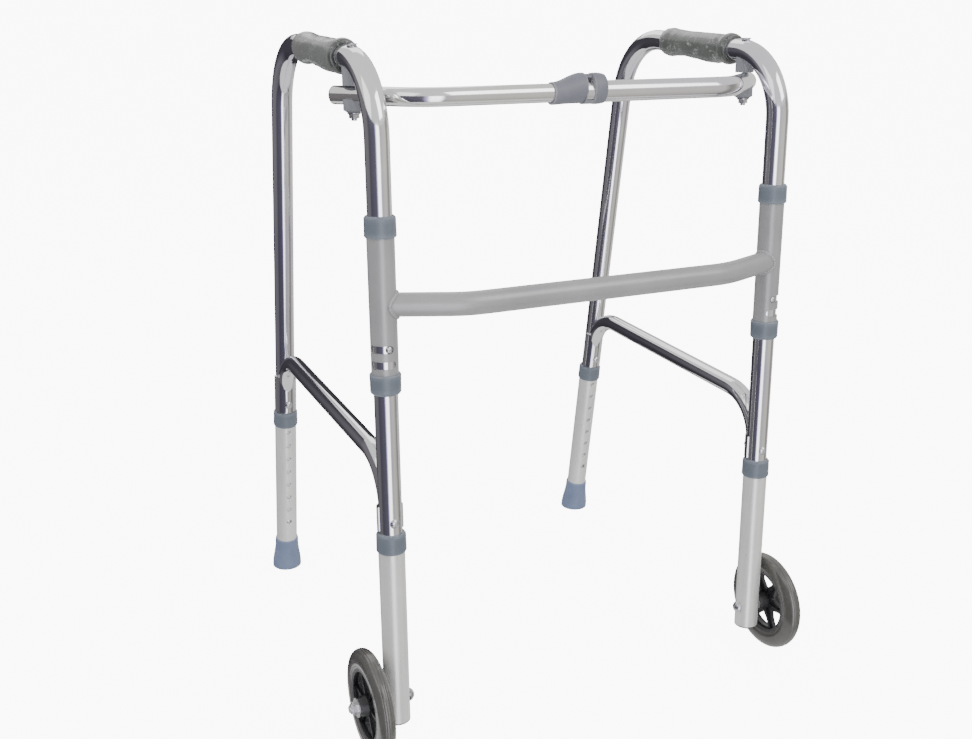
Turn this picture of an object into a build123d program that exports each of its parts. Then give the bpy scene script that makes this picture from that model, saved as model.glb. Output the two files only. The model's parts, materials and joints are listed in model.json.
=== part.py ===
from build123d import *
from build123d import SkipClean
from math import cos, hypot, radians, sin, tan
import os

# Folding walking frame with two front wheels. Millimetres.
# X runs across the frame (left is -X), Y runs from the front (-Y) to the user (+Y), Z is up.
# The origin lies on the floor under the middle of the frame.
# Left-hand pieces are modelled and mirrored across the YZ plane for the right-hand side.

# Driving dimensions: stance
HALF_TRACK = 243.0  # side-frame plane to the middle of the walker
DATUM_Z = 500.0  # height at which the two leg positions are given
FRONT_Y = -177.66  # front leg axis at the datum height
REAR_Y = FRONT_Y + 365.6  # rear leg axis at the datum height
FRONT_LEAN = 0.061  # rearward travel of the front leg per unit of height
REAR_LEAN = -0.117  # the rear leg leans the other way
HANDLE_Z = 750.0  # centre of the hand-grip tube
FRONT_BEND = 75.0  # bend radius over the front leg
REAR_BEND = 85.0  # bend radius over the rear leg

# Tubes
SIDE_R = 12.7
SIDE_WALL = 1.2
SLEEVE_R = 14.3
SLEEVE_BORE_R = 13.0
LEG_R = 14.6
LEG_BORE_R = 13.05
BRACE_R = 11.1
CROSS_R = 12.5
TUBE_WALL = 1.2
INNER_BAR_R = 9.525
OUTER_BAR_R = 11.1
OUTER_BAR_BORE_R = 9.85

# Sleeves and their turning stops
SLEEVE_LOW_Z = 426.0
SLEEVE_HIGH_Z = 601.0
COLLAR_R = 16.5
COLLAR_HEIGHT = 21.5
COLLAR_LIP = 4.5
RUNNING_GAP = 0.25  # collar lips to the tube that turns or slides in them
STOP_SLOT_Z = 470.5
SPARE_SLOT_Z = 453.7
SLOT_R = 4.25
SLOT_START = -76.0  # degrees from straight ahead, inward positive
STOP_SLOT_END = 4.0
SPARE_SLOT_END = 17.0
STOP_ANGLE = 3.0

# Lower cross tube of the H frame
CROSS_Z = 515.0
CROSS_FORWARD = 30.0  # how far its middle stands ahead of the sleeve axes
CROSS_END_ANGLE = 20.5
CROSS_BEND = 110.0

# Side braces
BRACE_Z = 340.6
CUFF_PROUD = 3.2  # how far the flattened ends stand off the legs
BRACE_FRONT_END_Z = 268.0
BRACE_REAR_END_Z = 257.5
BRACE_FRONT_BEND = 56.0
BRACE_REAR_BEND = 58.0
BRACE_BOLT_FRONT_Z = 279.0
BRACE_BOLT_REAR_Z = 270.0

# Upper crossbar, in the plane square to the sleeve axes
PIVOT_Y = FRONT_Y + 80.0
BAR_DROP = 36.3  # bar axis below the hand-grip tube at the pivots
BAR_FORWARD = 12.0  # bar axis ahead of the sleeve axes
LEFT_END_ANGLE = 30.0  # end sections, measured from straight back
RIGHT_END_ANGLE = 45.0
LEFT_BAR_BEND = 52.0
RIGHT_BAR_BEND = 60.0
LEFT_TAIL = 24.0
RIGHT_TAIL = 28.0
OUTER_MOUTH_X = -48.0
INNER_TIP_X = -22.0
BOLT_R = 3.0
BOLT_GAP = 0.1
SPACER_R = 10.8
PLAY = 0.3  # between faces that pass each other
SADDLE_DEPTH = 7.5  # plastic under the bar
NUT_HEIGHT = 5.5
BOLT_TAIL = 2.5  # thread below the nut

# Lock housing on the crossbar
LOCK_LEFT_X = -58.0
LOCK_WINDOW = (-21.0, -12.0)
LOCK_RIGHT_X = 2.5
RELEASE_X = -36.0
RELEASE_TRAVEL = 3.0

# Height-adjustable lower legs
FRONT_LEG_LOW_Z = 37.0
REAR_LEG_LOW_Z = 8.0
FRONT_COLLAR_Z = 254.5
REAR_COLLAR_Z = 244.6
FRONT_TUBE_END_Z = 74.0
REAR_TUBE_END_Z = 62.0
HOLE_PITCH = 21.0
HOLE_COUNT = 8
HOLE_R = 3.6
FRONT_BUTTON_Z = 88.0
REAR_BUTTON_Z = 80.8
BUTTON_R = 3.4

# Wheels and tips
WHEEL_R = 62.5
AXLE_Z = WHEEL_R
TYRE_HALF_WIDTH = 9.2
RIM_R = 41.5
RIM_HALF = 8.2
WHEEL_X = 31.0  # middle of the wheel outward of the leg axis
HUB_HALF = 15.0
AXLE_R = 4.0
AXLE_SLEEVE_R = 6.0
HUB_GAP = 0.06
SPOKES = 6
TIP_TOP_Z = 48.0

# Grips
GRIP_FRONT_Y = FRONT_Y + 102.0
GRIP_REAR_Y = FRONT_Y + 240.0

STANDING = (Align.CENTER, Align.CENTER, Align.MIN)


# ---------------------------------------------------------------- axes and basic shapes
def front_y(z):
    return FRONT_Y + FRONT_LEAN * (z - DATUM_Z)


def rear_y(z):
    return REAR_Y + REAR_LEAN * (z - DATUM_Z)


def front_axis(z, x=-HALF_TRACK):
    """Plane on the left front leg's axis: its z runs up the leg, its x stays along X."""
    return Plane(origin=(x, front_y(z), z), x_dir=(1, 0, 0), z_dir=(0, FRONT_LEAN, 1))


def rear_axis(z):
    return Plane(origin=(-HALF_TRACK, rear_y(z), z), x_dir=(1, 0, 0), z_dir=(0, REAR_LEAN, 1))


def rod(axis, low_z, high_z, radius):
    """Round bar along a leg axis between two heights."""
    length = (axis(high_z).origin - axis(low_z).origin).length
    return axis(low_z) * Cylinder(radius, length, align=STANDING)


def swept(path, radius):
    start = Plane(origin=path @ 0, z_dir=path % 0)
    return sweep(start * Circle(radius), path=path)


def turned(points):
    """Solid of revolution about Z from (radius, height) corners."""
    outline = Polyline(*[(r, 0, z) for r, z in points], close=True)
    return revolve(make_face(outline), Axis.Z)


def across(plane, radius, start, stop, angle=-90.0):
    """Pin square to a leg, from start to stop along the direction at angle from local x."""
    direction = Rot(0, 0, angle) * Rot(0, 90, 0)
    return plane * direction * Pos(0, 0, start) * Cylinder(radius, stop - start, align=STANDING)


def hexagon(across_flats, height):
    return extrude(RegularPolygon(across_flats / 2, 6, major_radius=False), height)


def mirrored(shape):
    return mirror(shape, about=Plane.YZ)


# ---------------------------------------------------------------- H frame
def sleeve_slot(z, end):
    """Cutter for a round-ended slot that runs part-way round the sleeve."""
    start, stop = SLOT_START - 90, end - 90
    face = make_face(Plane.XZ * Pos(SLEEVE_R, 0) * Rectangle(5, 2 * SLOT_R).wire())
    middle = Rot(0, 0, start) * revolve(face, Axis.Z, revolution_arc=stop - start)
    ends = [
        Rot(0, 0, angle) * Pos(SLEEVE_R - 2.5, 0, 0) * Rot(0, 90, 0) * Cylinder(SLOT_R, 5, align=STANDING)
        for angle in (start, stop)
    ]
    return front_axis(z) * (middle + ends)


def sleeve():
    body = rod(front_axis, SLEEVE_LOW_Z, SLEEVE_HIGH_Z, SLEEVE_R)
    body -= rod(front_axis, SLEEVE_LOW_Z - 5, SLEEVE_HIGH_Z + 5, SLEEVE_BORE_R)
    body -= sleeve_slot(STOP_SLOT_Z, STOP_SLOT_END)
    body -= sleeve_slot(SPARE_SLOT_Z, SPARE_SLOT_END)
    # Joined without merging faces, so that each slot lies in a face of its own.
    above = front_axis((STOP_SLOT_Z + SPARE_SLOT_Z) / 2) * Box(60, 60, 200, align=STANDING)
    with SkipClean():
        return (body - above) + (body & above)


def collar(tube_r, step_r, lip=COLLAR_LIP):
    """Moulded ring over a tube's end at z = 0: a lip above runs close on the tube inside."""
    bottom = -(COLLAR_HEIGHT - lip)
    ring = turned(
        [
            (step_r, bottom),
            (COLLAR_R - 0.8, bottom),
            (COLLAR_R, bottom + 1.2),
            (COLLAR_R - 0.3, lip - 2.2),
            (COLLAR_R - 1.4, lip - 0.6),
            (COLLAR_R - 2.2, lip),
            (tube_r + RUNNING_GAP, lip),
            (tube_r + RUNNING_GAP, 0),
            (step_r, 0),
        ]
    )
    return ring


def sleeve_collars():
    upper = front_axis(SLEEVE_HIGH_Z) * collar(SIDE_R, SLEEVE_R)
    lower = front_axis(SLEEVE_LOW_Z) * Rot(180, 0, 0) * collar(SIDE_R, SLEEVE_R)
    return [upper, lower]


def cross_tube():
    reach = CROSS_FORWARD / tan(radians(CROSS_END_ANGLE))
    side_y = front_y(CROSS_Z)
    corner = (-HALF_TRACK + reach, side_y - CROSS_FORWARD, CROSS_Z)
    start = (-HALF_TRACK + 6, side_y - 6 * tan(radians(CROSS_END_ANGLE)), CROSS_Z)
    points = [start, corner, (-corner[0], corner[1], CROSS_Z), (-start[0], start[1], CROSS_Z)]
    path = FilletPolyline(*points, radius=CROSS_BEND)
    left = rod(front_axis, CROSS_Z - 40, CROSS_Z + 40, SLEEVE_R)
    return swept(path, CROSS_R) - swept(path, CROSS_R - TUBE_WALL) - left - mirrored(left)


# ---------------------------------------------------------------- side frame
def side_path():
    return FilletPolyline(
        (-HALF_TRACK, front_y(FRONT_TUBE_END_Z), FRONT_TUBE_END_Z),
        (-HALF_TRACK, front_y(HANDLE_Z), HANDLE_Z),
        (-HALF_TRACK, rear_y(HANDLE_Z), HANDLE_Z),
        (-HALF_TRACK, rear_y(REAR_TUBE_END_Z), REAR_TUBE_END_Z),
        radius=(FRONT_BEND, REAR_BEND),
    )


def pivot_plane(drop=0.0, x=-HALF_TRACK):
    """Plane on a crossbar pivot, square to the sleeve axis, drop below the hand-grip tube."""
    slope = hypot(1, FRONT_LEAN)
    return Plane(
        origin=(x, PIVOT_Y - drop * FRONT_LEAN / slope, HANDLE_Z - drop / slope),
        x_dir=(1, 0, 0),
        z_dir=(0, FRONT_LEAN, 1),
    )


def snap_hole(plane, angle, radius=HOLE_R + 0.2):
    return across(plane, radius, 8, 18, angle)


def side_tube(solid_outer):
    body = solid_outer - swept(side_path(), SIDE_R - SIDE_WALL)
    body -= pivot_plane() * Pos(0, 0, -30) * Cylinder(BOLT_R + BOLT_GAP, 60, align=STANDING)
    body -= pivot_plane() * Pos(0, 0, SIDE_R - 2.2) * Cone(BOLT_R, 7.5, 4.0, align=STANDING)
    for axis, z in ((front_axis, BRACE_BOLT_FRONT_Z), (rear_axis, BRACE_BOLT_REAR_Z)):
        body -= across(axis(z), BOLT_R - 0.4, -25, 25)
    body -= across(front_axis(STOP_SLOT_Z), 2.05, 5, 20, STOP_ANGLE - 90)
    body -= snap_hole(front_axis(FRONT_BUTTON_Z), 90)
    body -= snap_hole(rear_axis(REAR_BUTTON_Z), -90)
    return body


def brace(solid_outer):
    """Tube between the legs, its ends bent down and pressed to a cuff around each leg."""
    offset = SIDE_R + CUFF_PROUD - BRACE_R - 0.6
    front_tip = front_y(BRACE_FRONT_END_Z) + offset
    rear_tip = rear_y(BRACE_REAR_END_Z) - offset
    front_corner = front_y(BRACE_Z) + offset
    rear_corner = rear_y(BRACE_Z) - offset
    path = FilletPolyline(
        (-HALF_TRACK, front_tip, BRACE_FRONT_END_Z),
        (-HALF_TRACK, front_corner, BRACE_Z),
        (-HALF_TRACK, rear_corner, BRACE_Z),
        (-HALF_TRACK, rear_tip, BRACE_REAR_END_Z),
        radius=(BRACE_FRONT_BEND, BRACE_REAR_BEND),
    )
    body = swept(path, BRACE_R)
    cuff_r = SIDE_R + CUFF_PROUD - 1.0
    for axis, low, high, shift in (
        (front_axis, BRACE_FRONT_END_Z, BRACE_Z - 45, 1),
        (rear_axis, BRACE_REAR_END_Z, BRACE_Z - 30, -1),
    ):
        cuff = rod(axis, low, high, cuff_r)
        half = axis(low) * Pos(0, shift * 20, 0) * Box(40, 40, 200)
        body += cuff & half
    bore_start = front_corner + BRACE_FRONT_BEND
    bore_length = rear_corner - 1.15 * BRACE_REAR_BEND - bore_start
    bore = Cylinder(BRACE_R - TUBE_WALL, bore_length, align=STANDING)
    body -= Plane(origin=(-HALF_TRACK, bore_start, BRACE_Z), z_dir=(0, 1, 0)) * bore
    body -= solid_outer
    for axis, z in ((front_axis, BRACE_BOLT_FRONT_Z), (rear_axis, BRACE_BOLT_REAR_Z)):
        body -= across(axis(z), BOLT_R - 0.4, -25, 25)
    return body


def round_head(radius, height, shank_r, shank):
    """Screw with a domed head above z = 0, its shank below, and a cross recess."""
    dome_r = (radius**2 + height**2) / (2 * height)
    head = Pos(0, 0, height - dome_r) * Sphere(dome_r)
    head &= Cylinder(radius, height, align=STANDING)
    screw = head + Pos(0, 0, -shank) * Cylinder(shank_r, shank + 0.5, align=STANDING)
    for turn in (0, 90):
        screw -= Pos(0, 0, height) * Rot(0, 0, turn) * Box(radius * 1.1, radius * 0.22, 1.6)
    return screw


def facing_forward(plane, distance):
    """Frame on a leg whose z points forward (-Y), distance ahead of the leg's axis."""
    return plane * Pos(0, -distance, 0) * Rot(90, 0, 0)


def brace_bolts():
    """Two cross-head bolts, one through each brace end and leg, with their nuts."""
    solids = []
    cases = (
        (front_axis(BRACE_BOLT_FRONT_Z), SIDE_R, SIDE_R + CUFF_PROUD),
        (rear_axis(BRACE_BOLT_REAR_Z), SIDE_R + CUFF_PROUD, SIDE_R),
    )
    for plane, head_at, nut_at in cases:
        shank = head_at + nut_at + 4.6
        solids.append(facing_forward(plane, head_at) * round_head(5.2, 2.6, BOLT_R - 0.5, shank))
        nut = hexagon(8.0, 4.0) - Cylinder(BOLT_R - 0.5, 20)
        solids.append(facing_forward(plane, -nut_at - 4.0) * nut)
    return solids


def stop_screw():
    plane = front_axis(STOP_SLOT_Z) * Rot(0, 0, STOP_ANGLE)
    outward = plane * Pos(0, -SIDE_R - 0.05, 0) * Rot(90, 0, 0)
    return outward * round_head(4.0, 2.3, 2.0, 5.0)


def pivot_spacer(solid_outer, bar_r):
    """Plastic spacer: a saddle round the hand-grip tube above, flat below over the bar."""
    bottom = BAR_DROP - bar_r - PLAY
    height = bottom - 6.0
    body = pivot_plane(bottom) * Cylinder(SPACER_R, height, align=STANDING)
    body -= solid_outer
    hole = pivot_plane(bottom + 1) * Cylinder(BOLT_R + BOLT_GAP, height + 12, align=STANDING)
    return body - hole


def grip():
    """Hand grip: rolled flange in front, waisted body, bulb behind, revolved about the tube."""
    length = GRIP_REAR_Y - GRIP_FRONT_Y
    outer = Spline(
        (15.4, 0, 16.5), (16.0, 0, 26.0), (16.6, 0, 48.0), (15.6, 0, 88.0), (17.0, 0, 118.0), (17.6, 0, 128.0)
    )
    outline = [
        Line((SIDE_R, 0, 0), (15.8, 0, 0)),
        ThreePointArc((15.8, 0, 0), (18.2, 0, 7.5), (15.4, 0, 16.5)),
        outer,
        ThreePointArc((17.6, 0, 128.0), (16.9, 0, 134.5), (14.6, 0, length)),
        Line((14.6, 0, length), (SIDE_R, 0, length)),
        Line((SIDE_R, 0, length), (SIDE_R, 0, 0)),
    ]
    body = revolve(make_face(Wire(outline)), Axis.Z)
    return Plane(origin=(-HALF_TRACK, GRIP_FRONT_Y, HANDLE_Z), x_dir=(1, 0, 0), z_dir=(0, 1, 0)) * body


def leaf_spring(plane, angle):
    """V-shaped leaf inside a tube: its long leg lies behind the button with room to move."""
    width, thick = 6.0, 0.8
    far = Pos(-9.4, 0, 14) * Box(thick, width, 52)
    near = Pos(1.6, 0, 14) * Box(thick, width, 44)
    bend = Pos(-3.9, 0, 39.6) * Box(11.8, width, thick)
    return plane * Rot(0, 0, angle) * (far + near + bend)


def leg_springs():
    return [leaf_spring(front_axis(FRONT_BUTTON_Z), 90), leaf_spring(rear_axis(REAR_BUTTON_Z), -90)]


def snap_button(plane, angle):
    """Deep-drawn button in the side tube's hole, its flange inside the tube."""
    crown = SIDE_R + 0.15
    stem = Cylinder(BUTTON_R, crown - 9.0 - 1.2, align=STANDING)
    dome_r = (BUTTON_R**2 + 1.2**2) / 2.4
    dome = Pos(0, 0, crown - dome_r) * Sphere(dome_r) & Pos(0, 0, crown - 1.2) * Cylinder(
        BUTTON_R, 1.2, align=STANDING
    )
    body = Pos(0, 0, 9.0) * stem + dome
    body += Pos(0, 0, 8.2) * Cylinder(4.6, 0.8, align=STANDING)
    return plane * Rot(0, 0, angle) * Rot(0, 90, 0) * body


# ---------------------------------------------------------------- height-adjustable legs
def lower_leg(axis, low_z, collar_z, button_z, angle):
    top_z = collar_z + COLLAR_HEIGHT / 2 - COLLAR_LIP
    body = rod(axis, low_z, top_z, LEG_R) - rod(axis, low_z - 5, top_z + 5, LEG_BORE_R)
    for step in range(HOLE_COUNT):
        body -= across(axis(button_z) * Pos(0, 0, step * HOLE_PITCH), HOLE_R, 10, 18, angle)
    return body


def leg_collar(axis, collar_z):
    return axis(collar_z + COLLAR_HEIGHT / 2 - COLLAR_LIP) * collar(SIDE_R, LEG_R)


def rubber_tip():
    """Flared rubber ferrule, coaxial with the rear leg and flat on the floor."""
    low = 14.0
    outline = [
        (0, -low),
        (20.0, -low),
        (20.4, 3),
        (20.1, 9),
        (19.2, 16),
        (17.8, 25),
        (16.6, 34),
        (16.3, TIP_TOP_Z - 3),
        (15.8, TIP_TOP_Z - 0.8),
        (15.4, TIP_TOP_Z),
        (LEG_R, TIP_TOP_Z),
        (LEG_R, REAR_LEG_LOW_Z),
        (0, REAR_LEG_LOW_Z),
    ]
    tip = rear_axis(0) * turned(outline)
    floor = Pos(0, rear_y(0), -25) * Box(3 * HALF_TRACK, 120, 50)
    return tip - floor


def foot_plug():
    """Plastic cap closing the bottom of a front leg, its stem inside the bore."""
    cap = turned(
        [(0, 0), (LEG_R - 0.6, 0), (LEG_R, 0.6), (LEG_R, 2), (LEG_BORE_R, 2), (LEG_BORE_R, 12), (0, 12)]
    )
    return front_axis(FRONT_LEG_LOW_Z - 2) * cap


# ---------------------------------------------------------------- wheels
def axle_plane():
    """On the front leg's axis at axle height, z pointing outward (-X)."""
    return Plane(origin=(-HALF_TRACK, front_y(AXLE_Z), AXLE_Z), x_dir=(0, 1, 0), z_dir=(-1, 0, 0))


SLEEVE_START = LEG_R + 0.1
SLEEVE_STOP = WHEEL_X + HUB_HALF + PLAY
WASHER = 1.6
AXLE_END = SLEEVE_STOP + WASHER + 8.5


def axle_bolt():
    screw = round_head(7.5, 5.8, AXLE_R, LEG_R + 0.1 + AXLE_END)
    return axle_plane() * Pos(0, 0, -LEG_R - 0.1) * Rot(180, 0, 0) * screw


def axle_sleeve():
    tube = turned(
        [
            (AXLE_R, SLEEVE_START),
            (9.0, SLEEVE_START),
            (9.0, WHEEL_X - HUB_HALF - PLAY),
            (AXLE_SLEEVE_R, WHEEL_X - HUB_HALF - PLAY),
            (AXLE_SLEEVE_R, SLEEVE_STOP),
            (AXLE_R, SLEEVE_STOP),
        ]
    )
    return axle_plane() * tube


def axle_nut():
    """Flat washer and lock nut on the outer end of the axle."""
    washer = Cylinder(11.0, WASHER, align=STANDING) - Cylinder(AXLE_R, 20)
    crown = turned([(AXLE_R, 4.8), (6.4, 4.8), (5.6, 6.8), (AXLE_R + 0.4, 6.8)])
    nut = hexagon(13.0, 4.8) - Cylinder(AXLE_R, 30) + crown
    return [
        axle_plane() * Pos(0, 0, SLEEVE_STOP) * washer,
        axle_plane() * Pos(0, 0, SLEEVE_STOP + WASHER) * nut,
    ]


def hub():
    """Moulded spoked wheel: barrel, channel rim, thin web with windows, ribs either side."""
    barrel = turned(
        [(AXLE_SLEEVE_R + HUB_GAP, -HUB_HALF), (9.5, -HUB_HALF), (12.5, -6), (12.5, 6), (9.5, HUB_HALF),
         (AXLE_SLEEVE_R + HUB_GAP, HUB_HALF)]
    )
    lip = RIM_HALF - 0.5
    rim = turned([(37.5, -lip), (RIM_R, -RIM_HALF), (RIM_R, RIM_HALF), (37.5, lip), (38.6, 0)])
    web = turned([(11, -2.2), (38.2, -2.2), (38.2, 2.2), (11, 2.2)])
    body = barrel + rim + web
    step = 360 / SPOKES
    for index in range(SPOKES):
        turn = Rot(0, 0, index * step)
        rib = Pos(24.6, 0, 0) * Box(27, 3.4, 10)
        window = make_face(Polyline((16.5, 0, 0), (27, -10.4, 0), (34, -13.4, 0), (36.6, 0, 0), (34, 13.4, 0),
                                    (27, 10.4, 0), close=True))
        window = fillet(window.vertices(), 1.8)
        body += turn * rib
        body -= turn * Rot(0, 0, step / 2) * Pos(0, 0, -5) * extrude(window, 10)
    return axle_plane() * Pos(0, 0, WHEEL_X) * body


def tyre():
    width = TYRE_HALF_WIDTH
    shoulder = WHEEL_R - width
    edge = width - 0.4
    outline = [
        Line((RIM_R, 0, -RIM_HALF), (43.6, 0, -edge)),
        Line((43.6, 0, -edge), (shoulder, 0, -width)),
        ThreePointArc((shoulder, 0, -width), (WHEEL_R, 0, 0), (shoulder, 0, width)),
        Line((shoulder, 0, width), (43.6, 0, edge)),
        Line((43.6, 0, edge), (RIM_R, 0, RIM_HALF)),
        Line((RIM_R, 0, RIM_HALF), (RIM_R, 0, -RIM_HALF)),
    ]
    return axle_plane() * Pos(0, 0, WHEEL_X) * revolve(make_face(Wire(outline)), Axis.Z)


# ---------------------------------------------------------------- upper crossbar
PIVOT_ARM = (PIVOT_Y - front_y(HANDLE_Z)) / hypot(1, FRONT_LEAN)  # pivot behind the sleeve axis


def bar_plane():
    """Middle of the crossbar: x along X, y straight back and square to the sleeves."""
    level = pivot_plane(BAR_DROP, 0.0)
    return level * Pos(0, -PIVOT_ARM, 0)


def bar_path(side, end_angle, bend, tail, inner_x):
    """Crossbar half from inner_x out to its tail behind the pivot; side is -1 or 1."""
    lean = tan(radians(end_angle))
    corner = (side * (HALF_TRACK - (PIVOT_ARM + BAR_FORWARD) * lean), -BAR_FORWARD)
    tail_end = (
        side * (HALF_TRACK + tail * sin(radians(end_angle))),
        PIVOT_ARM + tail * cos(radians(end_angle)),
    )
    flat = FilletPolyline((inner_x, -BAR_FORWARD, 0), (*corner, 0), (*tail_end, 0), radius=bend)
    return bar_plane() * flat


def bolt_cut(side):
    return pivot_plane(80, side * HALF_TRACK) * Cylinder(BOLT_R + BOLT_GAP, 100, align=STANDING)


def left_bar():
    path = bar_path(-1, LEFT_END_ANGLE, LEFT_BAR_BEND, LEFT_TAIL, INNER_TIP_X)
    body = swept(path, INNER_BAR_R) - swept(path, INNER_BAR_R - TUBE_WALL) - bolt_cut(-1)
    pin_hole = Pos(RELEASE_X, -BAR_FORWARD, 0) * Rot(-90, 0, 0) * Cylinder(3.8, 20, align=STANDING)
    return body - bar_plane() * pin_hole


def right_bar():
    path = bar_path(1, RIGHT_END_ANGLE, RIGHT_BAR_BEND, RIGHT_TAIL, OUTER_MOUTH_X)
    body = swept(path, OUTER_BAR_R) - swept(path, OUTER_BAR_BORE_R) - bolt_cut(1)
    pin_hole = Pos(RELEASE_X, -BAR_FORWARD, 0) * Rot(-90, 0, 0) * Cylinder(4.2, 20, align=STANDING)
    return body - bar_plane() * pin_hole


def end_plug(side, end_angle, tail, bore_r, bar_r):
    """Black plug in the open tail of a bar, with a thin rim over the tube's end."""
    heading = (side * sin(radians(end_angle)), cos(radians(end_angle)), 0)
    at = (side * HALF_TRACK + heading[0] * tail, PIVOT_ARM + heading[1] * tail, 0)
    outward = Plane(origin=at, z_dir=heading).location
    plug = turned([(0, -10), (bore_r - 0.4, -10), (bore_r, -8), (bore_r, 0), (bar_r, 0), (bar_r, 1.2),
                   (bar_r - 0.8, 2), (0, 2)])
    return bar_plane() * (outward * plug)


def bar_saddle(side, bar_r, bar_solid):
    """Round plastic cradle under a bar at its pivot, narrowed towards the nut."""
    bottom = -bar_r - SADDLE_DEPTH
    block = turned([(0, bottom), (6.5, bottom), (SPACER_R, bottom + 2.5), (SPACER_R, -3.5), (0, -3.5)])
    body = pivot_plane(BAR_DROP, side * HALF_TRACK) * block
    return body - bar_solid - bolt_cut(side)


def flange_nut(side, bar_r):
    drop = BAR_DROP + bar_r + SADDLE_DEPTH
    flange = turned([(BOLT_R, 0), (7.0, 0), (7.0, -1.0), (5.2, -2.0), (BOLT_R, -2.0)])
    nut = Pos(0, 0, -NUT_HEIGHT) * (hexagon(10.0, NUT_HEIGHT - 1) - Cylinder(BOLT_R, 20))
    return pivot_plane(drop, side * HALF_TRACK) * (flange + nut)


def countersunk(shank):
    """Cross-head screw sunk in the dimple on top of the tube; z = 0 is its rim."""
    head = Pos(0, 0, -3.0) * Cone(BOLT_R, 6.0, 3.0, align=STANDING)
    head += Cylinder(6.0, 0.7, align=STANDING)
    screw = head + Pos(0, 0, -shank) * Cylinder(BOLT_R, shank - 2.0, align=STANDING)
    for turn in (0, 90):
        screw -= Pos(0, 0, 0.7) * Rot(0, 0, turn) * Box(6.6, 1.3, 1.8)
    return screw


HEAD_RISE = SIDE_R + 0.9


def left_pivot_bolt():
    end = BAR_DROP + INNER_BAR_R + SADDLE_DEPTH + NUT_HEIGHT + BOLT_TAIL
    return pivot_plane() * Pos(0, 0, HEAD_RISE) * countersunk(end + HEAD_RISE)


def right_pivot_screw():
    """Upper part of the right pivot: it stops flush with the underside of the spacer."""
    end = BAR_DROP - OUTER_BAR_R - PLAY
    return pivot_plane(0, HALF_TRACK) * Pos(0, 0, HEAD_RISE) * countersunk(end + HEAD_RISE)


def right_pivot_stud():
    """Lower part of the right pivot, carried by the bar between its top and the nut."""
    top = BAR_DROP - OUTER_BAR_R + 0.2
    end = BAR_DROP + OUTER_BAR_R + SADDLE_DEPTH + NUT_HEIGHT + BOLT_TAIL
    return pivot_plane(end, HALF_TRACK) * Cylinder(BOLT_R, end - top, align=STANDING)


def oval(x, centre_z, half_y, half_z, centre_y=0.0):
    plane = Plane(origin=(x, centre_y, centre_z), x_dir=(0, 1, 0), z_dir=(1, 0, 0))
    return plane * Ellipse(half_y, half_z)


def lock_housing():
    """Moulding on the end of the outer bar: a horn that swells upward, a window, a ring."""
    horn = loft(
        [
            oval(LOCK_LEFT_X, -0.5, 11.4, 11.5),
            oval(LOCK_LEFT_X + 5, -0.3, 11.9, 11.6),
            oval(LOCK_LEFT_X + 16, 1.5, 13.2, 13.0, 0.6),
            oval(LOCK_LEFT_X + 30, 3.8, 14.4, 15.2, 1.2),
            oval(LOCK_WINDOW[0], 4.0, 14.4, 15.4, 1.2),
        ]
    )
    ring = loft(
        [
            oval(LOCK_WINDOW[1], 3.2, 14.0, 15.6, 0.8),
            oval(LOCK_RIGHT_X - 3, 3.0, 13.9, 15.6, 0.6),
            oval(LOCK_RIGHT_X, 2.9, 13.3, 15.0, 0.6),
        ]
    )
    middle_x = (LOCK_WINDOW[0] + LOCK_WINDOW[1]) / 2
    neck = Pos(middle_x, 0, 0) * Rot(0, 90, 0) * Cylinder(12.4, 12)
    window = Pos(middle_x, 0, 12) * Box(9.0, 60, 40)
    neck = neck - window
    roof = Pos(middle_x, 0.8, 16.2) * Box(14, 11, 3.2)
    body = horn + ring + neck + roof
    body -= Pos(-100, 0, 0) * Rot(0, 90, 0) * Cylinder(INNER_BAR_R + RUNNING_GAP, 200, align=STANDING)
    length = LOCK_RIGHT_X + 20 - OUTER_MOUTH_X
    body -= Pos(OUTER_MOUTH_X, 0, 0) * Rot(0, 90, 0) * Cylinder(OUTER_BAR_R, length, align=STANDING)
    body -= Pos(RELEASE_X, 0, 0) * Rot(-90, 0, 0) * Cylinder(7.3, 40, align=STANDING)
    return bar_plane() * Pos(0, -BAR_FORWARD, 0) * body


def release_button():
    """Thumb button on the user's side of the lock, with a nose that reaches to the pin."""
    cap = Pos(0, 0, 14.4) * Cylinder(7.0, 3.6, align=STANDING)
    cap = fillet(cap.edges().group_by(Axis.Z)[-1], 1.2)
    nose = Pos(0, 0, 12.7) * Cylinder(3.6, 2, align=STANDING)
    place = bar_plane() * Pos(RELEASE_X, -BAR_FORWARD, 0) * Rot(-90, 0, 0)
    return place * (cap + nose)


def bar_snap_pin():
    """Locking pin in the inner bar, behind the release button."""
    pin = Pos(0, 0, 4.6) * Cylinder(3.6, 4.4, align=STANDING)
    pin += Pos(0, 0, 4.0) * Cylinder(4.4, 1.0, align=STANDING)
    place = bar_plane() * Pos(RELEASE_X, -BAR_FORWARD, 0) * Rot(-90, 0, 0)
    return place * pin


def bar_snap_spring():
    """Leaf that backs the locking pin, lying in the half of the bore away from it."""
    leaf = Box(46, 0.8, 6) + Pos(-23, -2.4, 0) * Box(0.8, 5.6, 6) + Pos(0, -4.8, 0) * Box(46, 0.8, 6)
    return bar_plane() * Pos(-62, -BAR_FORWARD, 0) * leaf


# ---------------------------------------------------------------- all the pieces
def save(name, shape):
    solids = shape if isinstance(shape, list) else [shape]
    whole = Compound(children=[solid for piece in solids for solid in Part(piece.wrapped).solids()])
    export_step(whole, f"parts/{name}.step")


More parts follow.
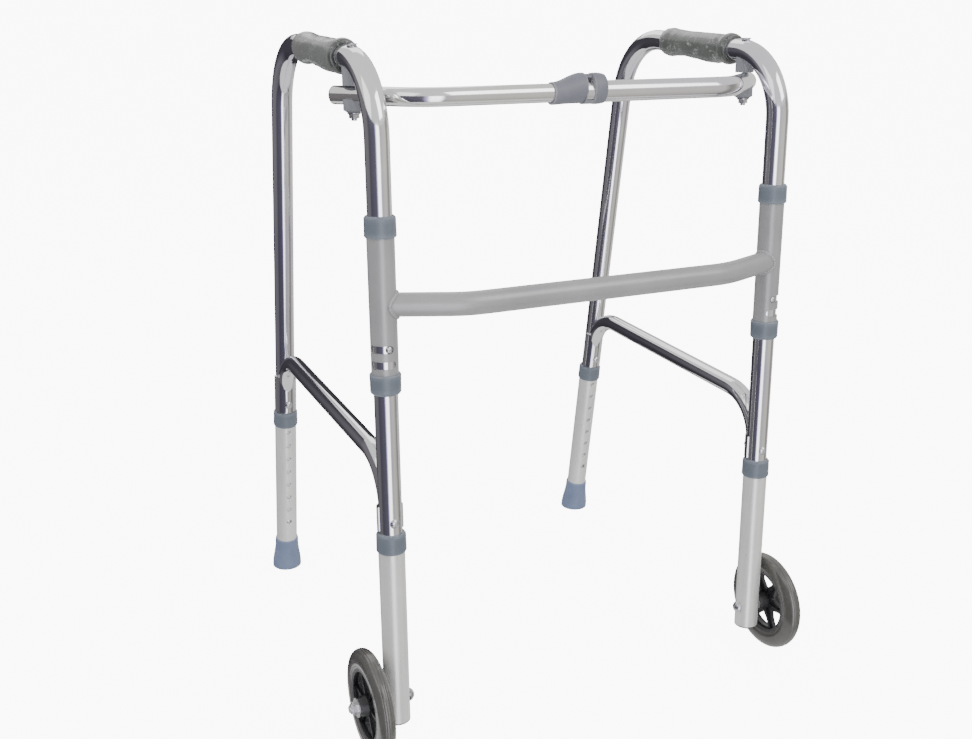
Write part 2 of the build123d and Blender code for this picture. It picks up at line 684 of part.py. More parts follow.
def main():
    os.makedirs("parts", exist_ok=True)
    outer = swept(side_path(), SIDE_R)
    handed = {
        "sleeve": sleeve(),
        "sleeve_collars": sleeve_collars(),
        "side_tube": side_tube(outer),
        "brace": brace(outer),
        "brace_bolts": brace_bolts(),
        "stop_screw": stop_screw(),
        "grip": grip(),
        "leg_springs": leg_springs(),
        "front_snap_button": snap_button(front_axis(FRONT_BUTTON_Z), 90),
        "rear_snap_button": snap_button(rear_axis(REAR_BUTTON_Z), -90),
        "front_leg": lower_leg(front_axis, FRONT_LEG_LOW_Z, FRONT_COLLAR_Z, FRONT_BUTTON_Z, 90)
        - axle_plane() * Cylinder(AXLE_R + 0.05, 60),
        "front_leg_collar": leg_collar(front_axis, FRONT_COLLAR_Z),
        "front_leg_plug": foot_plug(),
        "axle_bolt": axle_bolt(),
        "axle_sleeve": axle_sleeve(),
        "axle_nut": axle_nut(),
        "rear_leg": lower_leg(rear_axis, REAR_LEG_LOW_Z, REAR_COLLAR_Z, REAR_BUTTON_Z, -90),
        "rear_leg_collar": leg_collar(rear_axis, REAR_COLLAR_Z),
        "rubber_tip": rubber_tip(),
        "wheel_hub": hub(),
        "tyre": tyre(),
    }
    for name, shape in handed.items():
        save(f"left_{name}", shape)
        pieces = shape if isinstance(shape, list) else [shape]
        save(f"right_{name}", [mirrored(piece) for piece in pieces])
    save("left_pivot_spacer", pivot_spacer(outer, INNER_BAR_R))
    save("right_pivot_spacer", mirrored(pivot_spacer(outer, OUTER_BAR_R)))
    save("cross_tube", cross_tube())
    left_solid = swept(bar_path(-1, LEFT_END_ANGLE, LEFT_BAR_BEND, LEFT_TAIL, INNER_TIP_X), INNER_BAR_R)
    right_solid = swept(bar_path(1, RIGHT_END_ANGLE, RIGHT_BAR_BEND, RIGHT_TAIL, OUTER_MOUTH_X), OUTER_BAR_R)
    save("left_bar", left_bar())
    save("right_bar", right_bar())
    save("left_bar_saddle", bar_saddle(-1, INNER_BAR_R, left_solid))
    save("right_bar_saddle", bar_saddle(1, OUTER_BAR_R, right_solid))
    save("left_bar_plug", end_plug(-1, LEFT_END_ANGLE, LEFT_TAIL, INNER_BAR_R - TUBE_WALL, INNER_BAR_R))
    save("right_bar_plug", end_plug(1, RIGHT_END_ANGLE, RIGHT_TAIL, OUTER_BAR_BORE_R, OUTER_BAR_R))
    save("left_pivot_bolt", left_pivot_bolt())
    save("left_pivot_nut", flange_nut(-1, INNER_BAR_R))
    save("right_pivot_screw", right_pivot_screw())
    save("right_pivot_stud", right_pivot_stud())
    save("right_pivot_nut", flange_nut(1, OUTER_BAR_R))
    save("lock_housing", lock_housing())
    save("release_button", release_button())
    save("bar_snap_pin", bar_snap_pin())
    save("bar_snap_spring", bar_snap_spring())


main()
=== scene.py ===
import json
from math import atan2, cos, pi, radians, sin, sqrt

import bmesh
import bpy
from mathutils import Matrix, Vector, noise


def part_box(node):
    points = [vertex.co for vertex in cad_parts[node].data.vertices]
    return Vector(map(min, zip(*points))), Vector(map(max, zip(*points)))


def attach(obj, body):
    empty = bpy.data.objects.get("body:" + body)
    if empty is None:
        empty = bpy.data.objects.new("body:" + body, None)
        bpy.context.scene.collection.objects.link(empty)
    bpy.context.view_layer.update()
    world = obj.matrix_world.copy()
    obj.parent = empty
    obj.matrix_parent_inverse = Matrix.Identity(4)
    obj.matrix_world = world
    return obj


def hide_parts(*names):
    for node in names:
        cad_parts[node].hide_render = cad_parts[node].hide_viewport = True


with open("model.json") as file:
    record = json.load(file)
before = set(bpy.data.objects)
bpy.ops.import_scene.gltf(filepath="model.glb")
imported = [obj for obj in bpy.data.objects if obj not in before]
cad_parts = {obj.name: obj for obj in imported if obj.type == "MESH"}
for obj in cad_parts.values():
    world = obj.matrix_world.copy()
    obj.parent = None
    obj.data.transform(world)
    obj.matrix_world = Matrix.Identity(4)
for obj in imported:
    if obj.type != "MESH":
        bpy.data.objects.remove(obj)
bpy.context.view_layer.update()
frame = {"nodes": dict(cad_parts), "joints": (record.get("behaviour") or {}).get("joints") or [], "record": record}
scene = bpy.context.scene
joints = {joint["name"]: joint for joint in frame["joints"]}
record = frame["record"]

SIDES = (("left", -1), ("right", 1))


# ---------------------------------------------------------------- camera
CAMERA_YAW, CAMERA_PITCH, CAMERA_ROLL = -25.7, -19.798, 1.033  # degrees
CAMERA_PLACE = (-0.6264, -1.2168, 0.8445)
CAMERA_LENS, CAMERA_SENSOR = 42.11, 36.0  # millimetres


def make_camera():
    yaw, pitch, roll = (radians(value) for value in (CAMERA_YAW, CAMERA_PITCH, CAMERA_ROLL))
    forward = Vector((-sin(yaw) * cos(pitch), cos(yaw) * cos(pitch), sin(pitch)))
    right = Vector((cos(yaw), sin(yaw), 0))
    up = right.cross(forward)
    across = right * cos(roll) + up * sin(roll)
    upward = up * cos(roll) - right * sin(roll)
    data = bpy.data.cameras.new("camera")
    data.sensor_width = CAMERA_SENSOR
    data.lens = CAMERA_LENS
    data.clip_start, data.clip_end = 0.05, 200.0
    camera = bpy.data.objects.new("camera", data)
    turn = Matrix((across, upward, -forward)).transposed().to_4x4()
    camera.matrix_world = Matrix.Translation(CAMERA_PLACE) @ turn
    scene.collection.objects.link(camera)
    scene.camera = camera
    return camera


# ---------------------------------------------------------------- small node helpers
CLOUD_SPAN = (0.3, 0.7)  # the part of a noise's range that most of it fills


def new_material(name):
    material = bpy.data.materials.new(name)
    material.use_nodes = True
    tree = material.node_tree
    return material, tree, tree.nodes["Principled BSDF"]


def add(tree, kind, **values):
    node = tree.nodes.new(kind)
    for key, value in values.items():
        setattr(node, key, value)
    return node


def put(tree, source, target):
    tree.links.new(source, target)


def mapped(tree, scale):
    """Object coordinates stretched by scale, per metre."""
    where = add(tree, "ShaderNodeTexCoord")
    stretch = add(tree, "ShaderNodeMapping")
    stretch.inputs["Scale"].default_value = scale
    put(tree, where.outputs["Object"], stretch.inputs["Vector"])
    return stretch.outputs["Vector"]


def noise_at(tree, vector, scale, detail=4.0, roughness=0.55, distortion=0.0):
    node = add(tree, "ShaderNodeTexNoise")
    node.inputs["Scale"].default_value = scale
    node.inputs["Detail"].default_value = detail
    node.inputs["Roughness"].default_value = roughness
    node.inputs["Distortion"].default_value = distortion
    put(tree, vector, node.inputs["Vector"])
    return node.outputs["Fac"]


def spread(tree, value, low, high, to_low, to_high):
    node = add(tree, "ShaderNodeMapRange")
    for key, number in (("From Min", low), ("From Max", high), ("To Min", to_low), ("To Max", to_high)):
        node.inputs[key].default_value = number
    put(tree, value, node.inputs["Value"])
    return node.outputs["Result"]


def mix_colour(tree, factor, first, second):
    """Blend of two colours, each a value or a socket."""
    node = add(tree, "ShaderNodeMix", data_type="RGBA")
    put(tree, factor, node.inputs[0])
    for socket, colour in ((node.inputs[6], first), (node.inputs[7], second)):
        if isinstance(colour, tuple):
            socket.default_value = (*colour, 1)
        else:
            put(tree, colour, socket)
    return node.outputs[2]


def clouded(tree, cloud, dark, light):
    """Two tones blended by a cloudy noise."""
    return mix_colour(tree, spread(tree, cloud, *CLOUD_SPAN, 0, 1), dark, light)


def mix_value(tree, factor, first, second):
    node = add(tree, "ShaderNodeMix", data_type="FLOAT")
    put(tree, factor, node.inputs[0])
    put(tree, first, node.inputs[2])
    put(tree, second, node.inputs[3])
    return node.outputs[0]


def math(tree, operation, first, second):
    node = add(tree, "ShaderNodeMath", operation=operation)
    put(tree, first, node.inputs[0])
    if isinstance(second, (int, float)):
        node.inputs[1].default_value = second
    else:
        put(tree, second, node.inputs[1])
    return node.outputs[0]


def bump(tree, height, strength, distance, after=None):
    node = add(tree, "ShaderNodeBump")
    node.inputs["Strength"].default_value = strength
    node.inputs["Distance"].default_value = distance
    put(tree, height, node.inputs["Height"])
    if after is not None:
        put(tree, after, node.inputs["Normal"])
    return node.outputs["Normal"]


def height_above(tree, low, high):
    """0 below low, 1 above high, by height in the row frame."""
    where = add(tree, "ShaderNodeTexCoord")
    split = add(tree, "ShaderNodeSeparateXYZ")
    put(tree, where.outputs["Object"], split.inputs[0])
    return spread(tree, split.outputs["Z"], low, high, 0, 1)


def edges(tree, low=0.52, high=0.60):
    shape = add(tree, "ShaderNodeNewGeometry")
    return spread(tree, shape.outputs["Pointiness"], low, high, 0, 1)


# ---------------------------------------------------------------- materials
def metal(name, light, dark, rough, grain, streak=0.02, tint=None, metallic=1.0, scratch=0.12, coat=0.0):
    """Drawn tube: fine lines along its length, soft cloudy tone, a few dull scratches."""
    material, tree, shader = new_material(name)
    lines = [noise_at(tree, mapped(tree, scale), 1.0, 3.0, 0.6) for scale in grain]
    line = lines[0]
    if len(lines) > 1:
        line = mix_value(tree, height_above(tree, 0.690, 0.715), lines[0], lines[1])
    cloud = noise_at(tree, mapped(tree, (1, 1, 1)), 22.0, 3.0, 0.5)
    mark = noise_at(tree, mapped(tree, tuple(value * 0.35 for value in grain[0])), 2.3, 6.0, 0.7, 0.6)
    marks = spread(tree, mark, 0.62, 0.70, 0.0, scratch)
    colour = clouded(tree, cloud, dark, light)
    if tint:
        hue = noise_at(tree, mapped(tree, (1, 1, 1)), 9.0, 2.0, 0.5)
        colour = mix_colour(tree, spread(tree, hue, 0.50, 0.72, 0, 0.55), colour, tint)
    put(tree, colour, shader.inputs["Base Color"])
    base = spread(tree, line, *CLOUD_SPAN, *rough)
    put(tree, math(tree, "ADD", base, marks), shader.inputs["Roughness"])
    put(tree, bump(tree, line, streak, 0.0004), shader.inputs["Normal"])
    shader.inputs["Metallic"].default_value = metallic
    shader.inputs["Coat Weight"].default_value = coat
    shader.inputs["Coat Roughness"].default_value = 0.08
    return material


def moulded(name, light, dark, rough, grain=1400.0, depth=0.25, worn=None, sheen_spot=0.0, specular=0.5):
    """Moulded plastic or rubber: fine spark texture, cloudy tone, slightly paler edges."""
    material, tree, shader = new_material(name)
    place = mapped(tree, (1, 1, 1))
    cloud = noise_at(tree, place, 35.0, 5.0, 0.6)
    fine = noise_at(tree, place, grain, 3.0, 0.6)
    colour = clouded(tree, cloud, dark, light)
    if worn:
        colour = mix_colour(tree, edges(tree), colour, worn)
    put(tree, colour, shader.inputs["Base Color"])
    put(tree, spread(tree, cloud, *CLOUD_SPAN, *rough), shader.inputs["Roughness"])
    put(tree, bump(tree, fine, depth, 0.0003), shader.inputs["Normal"])
    shader.inputs["Specular IOR Level"].default_value = specular
    shader.inputs["Coat Weight"].default_value = sheen_spot
    shader.inputs["Coat Roughness"].default_value = 0.2
    return material


def painted():
    """Light grey powder coat: faint orange peel and a few darker specks."""
    material, tree, shader = new_material("powder_coat")
    place = mapped(tree, (1, 1, 1))
    cloud = noise_at(tree, place, 14.0, 4.0, 0.6)
    peel = noise_at(tree, place, 650.0, 2.0, 0.5)
    speck = noise_at(tree, place, 1900.0, 2.0, 0.5)
    colour = clouded(tree, cloud, (0.345, 0.345, 0.357), (0.415, 0.413, 0.424))
    colour = mix_colour(tree, spread(tree, speck, 0.68, 0.76, 0, 0.5), colour, (0.22, 0.21, 0.21))
    put(tree, colour, shader.inputs["Base Color"])
    put(tree, spread(tree, cloud, *CLOUD_SPAN, 0.30, 0.38), shader.inputs["Roughness"])
    put(tree, bump(tree, peel, 0.12, 0.0004), shader.inputs["Normal"])
    shader.inputs["Metallic"].default_value = 0.15
    shader.inputs["Coat Weight"].default_value = 0.25
    shader.inputs["Coat Roughness"].default_value = 0.25
    return material


def plated(name, light, dark, rough):
    """Zinc plate: small crystals and handling marks."""
    material, tree, shader = new_material(name)
    place = mapped(tree, (1, 1, 1))
    cells = add(tree, "ShaderNodeTexVoronoi")
    cells.inputs["Scale"].default_value = 900.0
    put(tree, place, cells.inputs["Vector"])
    cloud = noise_at(tree, place, 160.0, 4.0, 0.6)
    blend = math(tree, "MULTIPLY", spread(tree, cells.outputs["Distance"], 0, 0.8, 0, 1), cloud)
    colour = mix_colour(tree, spread(tree, blend, 0.1, 0.5, 0, 1), light, dark)
    put(tree, colour, shader.inputs["Base Color"])
    put(tree, spread(tree, cloud, *CLOUD_SPAN, *rough), shader.inputs["Roughness"])
    put(tree, bump(tree, cells.outputs["Distance"], 0.06, 0.0002), shader.inputs["Normal"])
    shader.inputs["Metallic"].default_value = 1.0
    return material


def wrapped_grip():
    """Dark vinyl under thin clear film: the film's creases catch the light, painted into the colour as pale
    highlight lines, and a pale sheen is painted where the surface turns away from view.
    """
    material, tree, shader = new_material("grip_vinyl")
    place = mapped(tree, (1, 1, 1))
    cloud = noise_at(tree, place, 60.0, 5.0, 0.6)
    base = clouded(tree, cloud, (0.052, 0.056, 0.052), (0.082, 0.087, 0.081))
    # Painted sheen: the colour turns paler towards grazing angles, standing in for the film's reflection.
    facing = add(tree, "ShaderNodeLayerWeight")
    facing.inputs["Blend"].default_value = 0.4
    painted_grazing_sheen = spread(tree, facing.outputs["Facing"], 0.15, 0.8, 0, 0.75)
    base = mix_colour(tree, painted_grazing_sheen, base, (0.27, 0.285, 0.27))
    folds = noise_at(tree, mapped(tree, (1.0, 0.55, 1.0)), 95.0, 3.0, 0.55, 1.4)
    # Painted highlight: patchy pale lines along the film's folds, mixed into the colour together with a few pale
    # specks.
    ridge = math(tree, "ABSOLUTE", math(tree, "SUBTRACT", folds, 0.5), 0.0)
    painted_crease_highlight = spread(tree, ridge, 0.0, 0.013, 1.0, 0.0)
    patch = noise_at(tree, place, 48.0, 2.0, 0.5)
    gate = spread(tree, patch, 0.44, 0.58, 0.0, 0.8)
    painted_crease_highlight = math(tree, "MULTIPLY", painted_crease_highlight, gate)
    speck = spread(tree, noise_at(tree, place, 900.0, 2.0, 0.5), 0.70, 0.76, 0.0, 0.5)
    colour = mix_colour(tree, math(tree, "MAXIMUM", painted_crease_highlight, speck), base, (0.62, 0.64, 0.63))
    put(tree, colour, shader.inputs["Base Color"])
    put(tree, spread(tree, cloud, *CLOUD_SPAN, 0.38, 0.55), shader.inputs["Roughness"])
    fine = noise_at(tree, place, 1100.0, 2.0, 0.5)
    put(tree, bump(tree, fine, 0.2, 0.0003), shader.inputs["Normal"])
    film = bump(tree, folds, 0.22, 0.0012)
    put(tree, film, shader.inputs["Coat Normal"])
    shader.inputs["Coat Weight"].default_value = 0.8
    shader.inputs["Coat Roughness"].default_value = 0.10
    return material


def tyre_material():
    """Smooth grey polyurethane with faint turning lines and road dust on the tread."""
    material, tree, shader = new_material("tyre_polyurethane")
    place = mapped(tree, (1, 1, 1))
    cloud = noise_at(tree, place, 45.0, 5.0, 0.6)
    ring = noise_at(tree, mapped(tree, (900, 6, 6)), 1.0, 2.0, 0.5)
    colour = clouded(tree, cloud, (0.062, 0.059, 0.054), (0.098, 0.093, 0.086))
    colour = mix_colour(tree, edges(tree, 0.51, 0.56), colour, (0.15, 0.145, 0.137))
    put(tree, colour, shader.inputs["Base Color"])
    put(tree, spread(tree, cloud, *CLOUD_SPAN, 0.20, 0.30), shader.inputs["Roughness"])
    put(tree, bump(tree, ring, 0.08, 0.0004), shader.inputs["Normal"])
    shader.inputs["Coat Weight"].default_value = 0.6
    shader.inputs["Coat Roughness"].default_value = 0.07
    return material


LEG_GRAIN = ((420.0, 420.0, 5.0),)
SIDE_GRAIN = ((420.0, 420.0, 5.0), (420.0, 5.0, 420.0))
BAR_GRAIN = ((5.0, 420.0, 420.0),)
BRACE_GRAIN = ((420.0, 6.0, 420.0),)
TINT = (0.70, 0.66, 0.82)


def make_metals():
    return {
        "side": metal(
            "polished_side_tube", (0.90, 0.90, 0.91), (0.83, 0.83, 0.85), (0.07, 0.13), SIDE_GRAIN, tint=TINT
        ),
        "bar": metal(
            "polished_bar", (0.91, 0.90, 0.89), (0.84, 0.835, 0.82), (0.09, 0.15), BAR_GRAIN, tint=TINT
        ),
        "satin_tube": metal(
            "satin_leg",
            (0.93, 0.925, 0.915),
            (0.87, 0.862, 0.85),
            (0.26, 0.34),
            LEG_GRAIN,
            streak=0.06,
            metallic=0.35,
        ),
        "chrome": metal(
            "chrome_plate", (0.88, 0.88, 0.90), (0.82, 0.82, 0.84), (0.04, 0.08), BRACE_GRAIN, streak=0.01
        ),
        "zinc": plated("zinc_plate", (0.74, 0.74, 0.75), (0.50, 0.50, 0.53), (0.22, 0.34)),
        "spring_steel": plated("spring_steel", (0.45, 0.45, 0.47), (0.30, 0.30, 0.32), (0.30, 0.42)),
    }


# Light tone, dark tone, roughness range and the tone of worn edges of each moulded plastic.
PLASTICS = {
    "collar_plastic": ((0.160, 0.186, 0.228), (0.132, 0.155, 0.194), (0.34, 0.44), (0.27, 0.30, 0.35)),
    "lock_plastic": ((0.215, 0.218, 0.262), (0.180, 0.183, 0.222), (0.44, 0.54), (0.36, 0.36, 0.39)),
    "button_plastic": ((0.20, 0.165, 0.25), (0.15, 0.125, 0.19), (0.35, 0.45), None),
    "black_plastic": ((0.022, 0.022, 0.024), (0.012, 0.012, 0.014), (0.30, 0.42), (0.07, 0.07, 0.075)),
}


def make_materials():
    materials = make_metals()
    for name, (light, dark, rough, worn) in PLASTICS.items():
        materials[name] = moulded(name, light, dark, rough, worn=worn)
    materials["grey_plastic"] = moulded(
        "spacer_plastic",
        (0.165, 0.170, 0.195),
        (0.128, 0.133, 0.155),
        (0.40, 0.50),
        worn=(0.26, 0.27, 0.30),
    )
    materials["tip_rubber"] = moulded(
        "tip_rubber",
        (0.205, 0.258, 0.405),
        (0.160, 0.205, 0.330),
        (0.50, 0.62),
        grain=900.0,
        depth=0.4,
        worn=(0.30, 0.35, 0.48),
    )
    materials["frame_paint"] = painted()
    materials["grip"] = wrapped_grip()
    materials["tyre"] = tyre_material()
    return materials


def dress_nodes(materials):
    for entry in record["subparts"]:
        node, slot = entry["node"], entry["material_slot"]
        if slot == "polished_tube":
            slot = "side" if node.endswith("side_tube") else "bar"
        target = frame["nodes"][node]
        target.data.materials.clear()
        target.data.materials.append(materials[slot])


# ---------------------------------------------------------------- mesh helpers
def mesh_object(name, vertices, faces, material, smooth=True):
    mesh = bpy.data.meshes.new(name)
    mesh.from_pydata(vertices, [], faces)
    mesh.materials.append(material)
    bm = bmesh.new()
    bm.from_mesh(mesh)
    bmesh.ops.recalc_face_normals(bm, faces=bm.faces)
    bm.to_mesh(mesh)
    bm.free()
    mesh.polygons.foreach_set("use_smooth", [smooth] * len(mesh.polygons))
    mesh.update()
    thing = bpy.data.objects.new(name, mesh)
    scene.collection.objects.link(thing)
    return thing


def rings_to_mesh(name, rings, material, closed=False, capped=False):
    """Skin over rings of points, one after another; closed joins the last ring to the first."""
    around = len(rings[0])
    vertices = [point for ring in rings for point in ring]
    faces = []
    last = len(rings) if closed else len(rings) - 1
    for row in range(last):
        here, there = row * around, (row + 1) % len(rings) * around
        for k in range(around):
            n = (k + 1) % around
            faces.append((here + k, here + n, there + n, there + k))
    if capped:
        faces.append(tuple(range(around)))
        faces.append(tuple(range((len(rings) - 1) * around, len(rings) * around)))
    return mesh_object(name, vertices, faces, material)


def interpolate(table, at):
    """Smooth value from (position, value) pairs."""
    for (a, first), (b, second) in zip(table, table[1:]):
        if at <= b:
            share = max(0.0, (at - a) / (b - a))
            share = share * share * (3 - 2 * share)
            return first + (second - first) * share
    return table[-1][1]


# ---------------------------------------------------------------- grips
# Radius in millimetres by distance in metres from the flange's front face.
GRIP_TOP = (
    (0.000, 15.6), (0.0025, 17.6), (0.0075, 18.3), (0.0125, 17.2), (0.0155, 15.0), (0.0185, 15.3),
    (0.024, 15.9), (0.060, 15.7), (0.096, 15.4), (0.114, 16.2), (0.127, 17.2), (0.1345, 16.5),
    (0.138, 14.4),
)
GRIP_UNDER = (
    (0.000, 15.6), (0.0025, 18.0), (0.0075, 18.7), (0.0125, 17.6), (0.0155, 15.4), (0.0190, 16.6),
    (0.028, 18.8), (0.044, 19.0), (0.074, 17.0), (0.098, 15.6), (0.112, 16.4), (0.127, 18.2),
    (0.1345, 17.3), (0.138, 14.4),
)
GRIP_BORE = 0.01275
FLANGE_END = 0.016  # behind this distance the film is crumpled


def grip(side, x_sign, material):
    low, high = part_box(f"{side}_grip")
    centre = (low + high) / 2
    steps, around = 150, 128
    rings = []
    length = high.y - low.y
    for i in range(steps + 1):
        along = length * i / steps
        ring = []
        for k in range(around):
            angle = 2 * pi * k / around
            down = max(0.0, -sin(angle)) ** 1.4
            top, under = interpolate(GRIP_TOP, along), interpolate(GRIP_UNDER, along)
            radius = (top + (under - top) * down) / 1000
            here = Vector((cos(angle) * 0.016, along, sin(angle) * 0.016)) + Vector((x_sign * 3.0, 0, 0))
            crumple = noise.noise(here * 95) * 0.55 + noise.noise(here * 240) * 0.30
            fold = 1 - min(1.0, abs(noise.noise(here * 140 + Vector((5, 2, 1)))) * 7)
            calm = min(1.0, max(0.0, (along - FLANGE_END) / 0.008))
            calm *= min(1.0, max(0.0, (length - along) / 0.006))
            radius += (crumple * 0.00012 + fold * 0.00016) * calm
            ring.append((centre.x + cos(angle) * radius, low.y + along, centre.z + sin(angle) * radius))
        rings.append(ring)
    for along in (length, 0.0):
        ring = []
        for k in range(around):
            angle = 2 * pi * k / around
            ring.append((centre.x + cos(angle) * GRIP_BORE, low.y + along, centre.z + sin(angle) * GRIP_BORE))
        rings.append(ring)
    piece = rings_to_mesh(f"{side}_grip_wrapped", rings, material, closed=True)
    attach(piece, f"{side}_frame")
    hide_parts(f"{side}_grip")


# ---------------------------------------------------------------- tyres
# Half of the tyre's outline from the middle of the tread to the rim: offset and radius in
# millimetres, with a moulded ring beside the middle and a lip at the rim.
HALF_PROFILE = (
    (0.35, 62.5), (1.8, 62.35), (3.3, 61.9), (3.6, 61.45), (3.9, 61.75), (4.6, 61.4), (6.1, 60.3),
    (7.5, 58.7), (8.5, 56.6), (9.05, 54.0), (9.2, 51.5), (9.2, 47.5), (9.1, 44.9), (8.8, 44.2),
    (9.0, 43.4), (8.7, 42.3), (8.2, 41.5),
)
TREAD_MIDDLE = (0.0, 62.3)
TYRE_PROFILE = (*((-x, r) for x, r in reversed(HALF_PROFILE)), TREAD_MIDDLE, *HALF_PROFILE)


def tyre(side, material):
    low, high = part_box(f"{side}_tyre")
    centre = (low + high) / 2
    around = 192
    rings = []
    for k in range(around):
        angle = 2 * pi * k / around
        rings.append([
            (centre.x + x / 1000, centre.y + cos(angle) * r / 1000, centre.z + sin(angle) * r / 1000)
            for x, r in TYRE_PROFILE
        ])
    piece = rings_to_mesh(f"{side}_tyre_moulding", rings, material, closed=True)
    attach(piece, f"{side}_wheel")
    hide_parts(f"{side}_tyre")


# ---------------------------------------------------------------- weld beads
CROSS_TUBE_R, SLEEVE_R, BEAD_R = 0.0125, 0.0143, 0.0021
CROSS_END_ANGLE = 20.5  # degrees forward of straight across
BEAD_STEPS, BEAD_SIDES, BEAD_RIPPLES = 150, 12, 26


def weld_bead(side, x_sign, material):
    """Rippled bead where the cross tube's coped end meets the sleeve."""
    fold = joints[f"{side}_fold"]
    axis = Vector(fold["axis"]).normalized()
    axis = axis if axis.z > 0 else -axis
    low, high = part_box("cross_tube")
    height = (low.z + high.z) / 2
    base = Vector(fold["pos_m"])
    on_axis = base + axis * ((height - base.z) / axis.z)
    leaving = radians(CROSS_END_ANGLE)
    out = Vector((-x_sign * cos(leaving), -sin(leaving), 0))
    upright = Vector((0, 0, 1))
    beside = out.cross(upright).normalized()
    path = []
    for i in range(BEAD_STEPS):
        t = 2 * pi * i / BEAD_STEPS
        start = (beside * cos(t) + upright * sin(t)) * CROSS_TUBE_R
        flat, run = start - axis * start.dot(axis), out - axis * out.dot(axis)
        a, b, c = run.dot(run), 2 * flat.dot(run), flat.dot(flat) - SLEEVE_R**2
        path.append(on_axis + start + out * ((-b + sqrt(b * b - 4 * a * c)) / (2 * a)))
    rings = []
    for i, point in enumerate(path):
        ahead = (path[(i + 1) % BEAD_STEPS] - path[i - 1]).normalized()
        outward = (point - on_axis - out * (point - on_axis).dot(out)).normalized()
        second = ahead.cross(outward).normalized()
        ripple = 1 + 0.22 * abs(sin(pi * i * BEAD_RIPPLES / BEAD_STEPS)) + 0.10 * noise.noise(point * 700)
        ring = []
        for k in range(BEAD_SIDES):
            angle = 2 * pi * k / BEAD_SIDES
            ring.append(tuple(point + (outward * cos(angle) + second * sin(angle)) * BEAD_R * ripple))
        rings.append(ring)
    piece = rings_to_mesh(f"{side}_weld_bead", rings, material, closed=True)
    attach(piece, "h_frame")


# ---------------------------------------------------------------- stage and light
def emitter(name, strength):
    material = bpy.data.materials.new(name)
    material.use_nodes = True
    tree = material.node_tree
    tree.nodes.remove(tree.nodes["Principled BSDF"])
    glow = add(tree, "ShaderNodeEmission")
    tone = add(tree, "ShaderNodeAttribute", attribute_name="tone")
    glow.inputs["Strength"].default_value = strength
    put(tree, tone.outputs["Color"], glow.inputs["Color"])
    put(tree, glow.outputs["Emission"], tree.nodes["Material Output"].inputs["Surface"])
    return material


# Tone of the studio walls that polished metal sees, by degrees round from the camera's side.
WALL_TONES = (
    (-180, (0.05, 0.05, 0.055)), (-125, (0.06, 0.056, 0.07)), (-108, (0.20, 0.19, 0.21)),
    (-70, (0.19, 0.18, 0.19)), (-58, (0.09, 0.088, 0.115)), (-12, (0.14, 0.13, 0.18)),
    (-4, (0.9, 0.82, 1.35)), (2, (4.2, 4.2, 4.4)),
    (18, (4.0, 4.0, 4.1)), (26, (0.62, 0.60, 0.66)), (52, (0.78, 0.76, 0.71)), (78, (0.82, 0.79, 0.72)),
    (92, (0.32, 0.31, 0.29)), (104, (0.40, 0.39, 0.36)), (120, (0.95, 0.93, 0.90)), (160, (0.95, 0.93, 0.90)),
    (176, (0.5, 0.5, 0.5)), (180, (0.05, 0.05, 0.055)),
)
WALL_RADIUS = 1.75
WALL_ROWS = ((-1.2, 0.6), (0.3, 1.0), (1.15, 1.0))  # height and share of the tone


def wall_tone(turn):
    for (a, first), (b, second) in zip(WALL_TONES, WALL_TONES[1:]):
        if turn <= b:
            share = (turn - a) / (b - a)
            return [one + (two - one) * share for one, two in zip(first, second)]
    return list(WALL_TONES[-1][1])


def studio_walls(camera):
    """Ring of dark and bright panels that only reflections see."""
    towards = atan2(camera.location.y, camera.location.x)
    steps = 180
    vertices, faces, tones = [], [], []
    for i in range(steps):
        turn = -180 + 360 * i / steps
        angle = towards + radians(turn)
        for z, share in WALL_ROWS:
            vertices.append((cos(angle) * WALL_RADIUS, sin(angle) * WALL_RADIUS, z))
            tones.append([value * share for value in wall_tone(turn)])
    rows = len(WALL_ROWS)
    for i in range(steps):
        a, b = rows * i, rows * ((i + 1) % steps)
        faces += [(a + row, b + row, b + row + 1, a + row + 1) for row in range(rows - 1)]
    mesh = bpy.data.meshes.new("studio_walls")
    mesh.from_pydata(vertices, [], faces)
    layer = mesh.color_attributes.new("tone", "FLOAT_COLOR", "POINT")
    for k, tone in enumerate(tones):
        layer.data[k].color = (*tone, 1)
    mesh.materials.append(emitter("wall_tone", 1.0))
    walls = bpy.data.objects.new("studio_walls", mesh)
    scene.collection.objects.link(walls)
    walls.visible_camera = False
    walls.visible_diffuse = False
    walls.visible_shadow = False
    walls.visible_transmission = False
    walls.visible_volume_scatter = False


FLOOR_REACH, FLOOR_Z = 60.0, -0.0004
FLOOR_GLOW = 9.0  # brightness of the near-white floor, which reflections and bounces don't see


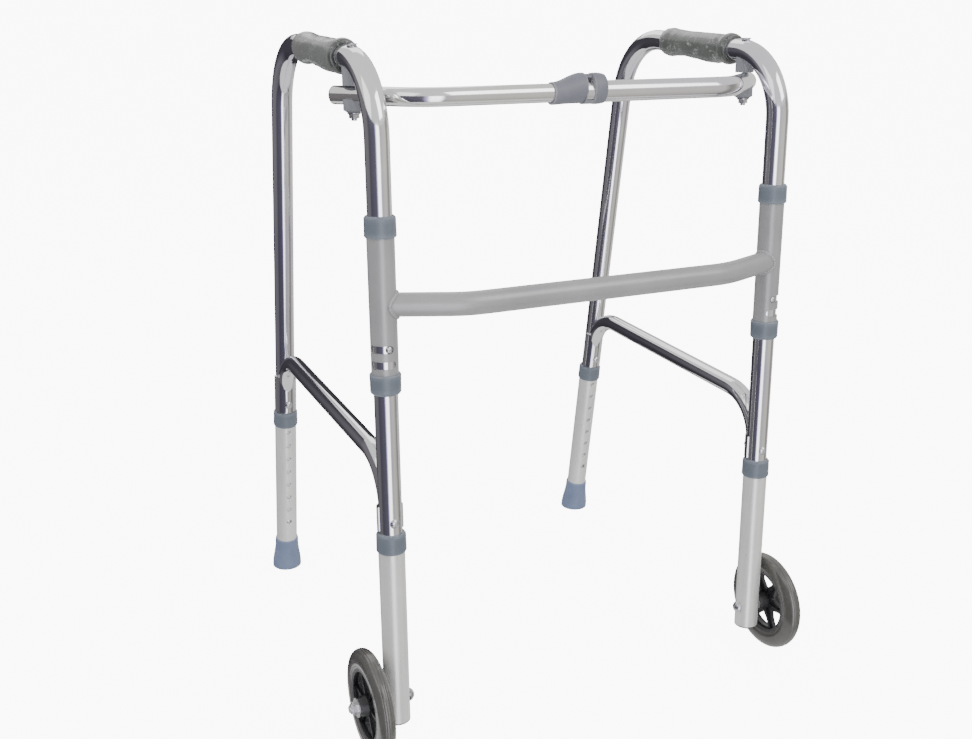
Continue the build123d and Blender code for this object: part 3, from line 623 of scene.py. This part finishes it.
def make_floor():
    material, tree, shader = new_material("pale_floor")
    grain = noise_at(tree, mapped(tree, (1, 1, 1)), 3.0, 3.0, 0.5)
    put(tree, mix_colour(tree, grain, (0.93, 0.93, 0.93), (0.95, 0.95, 0.95)), shader.inputs["Base Color"])
    shader.inputs["Roughness"].default_value = 0.9
    shader.inputs["Specular IOR Level"].default_value = 0.1
    signs = ((-1, -1), (1, -1), (1, 1), (-1, 1))
    corners = [(x * FLOOR_REACH, y * FLOOR_REACH, FLOOR_Z) for x, y in signs]
    shader.inputs["Emission Color"].default_value = (1.0, 1.0, 1.0, 1)
    shader.inputs["Emission Strength"].default_value = FLOOR_GLOW
    floor = mesh_object("floor", corners, [(0, 1, 2, 3)], material, False)
    floor.visible_glossy = False
    floor.visible_diffuse = False


WORLD_STRENGTH = 0.95
LAMP_AIM = Vector((0, 0, 0.4))
# Name, place, size in metres and watts of each soft lamp.
LAMPS = (
    ("key", (1.1, -1.9, 2.4), 1.6, 26.0),
    ("fill", (-2.2, -0.6, 1.9), 1.8, 10.0),
    ("back", (0.4, 2.2, 2.2), 1.6, 10.0),
)


def make_light():
    world = bpy.data.worlds.new("studio")
    world.use_nodes = True
    world.node_tree.nodes["Background"].inputs["Color"].default_value = (1.0, 1.0, 1.0, 1)
    world.node_tree.nodes["Background"].inputs["Strength"].default_value = WORLD_STRENGTH
    scene.world = world
    for name, place, size, power in LAMPS:
        data = bpy.data.lights.new(name, "AREA")
        data.energy, data.size = power, size
        lamp = bpy.data.objects.new(name, data)
        lamp.location = place
        lamp.rotation_mode = "QUATERNION"
        lamp.rotation_quaternion = (LAMP_AIM - Vector(place)).to_track_quat("-Z", "Y")
        scene.collection.objects.link(lamp)


# ---------------------------------------------------------------- build
camera = make_camera()
materials = make_materials()
dress_nodes(materials)
for side, x_sign in SIDES:
    grip(side, x_sign, materials["grip"])
    tyre(side, materials["tyre"])
    weld_bead(side, x_sign, materials["frame_paint"])
studio_walls(camera)
make_floor()
make_light()
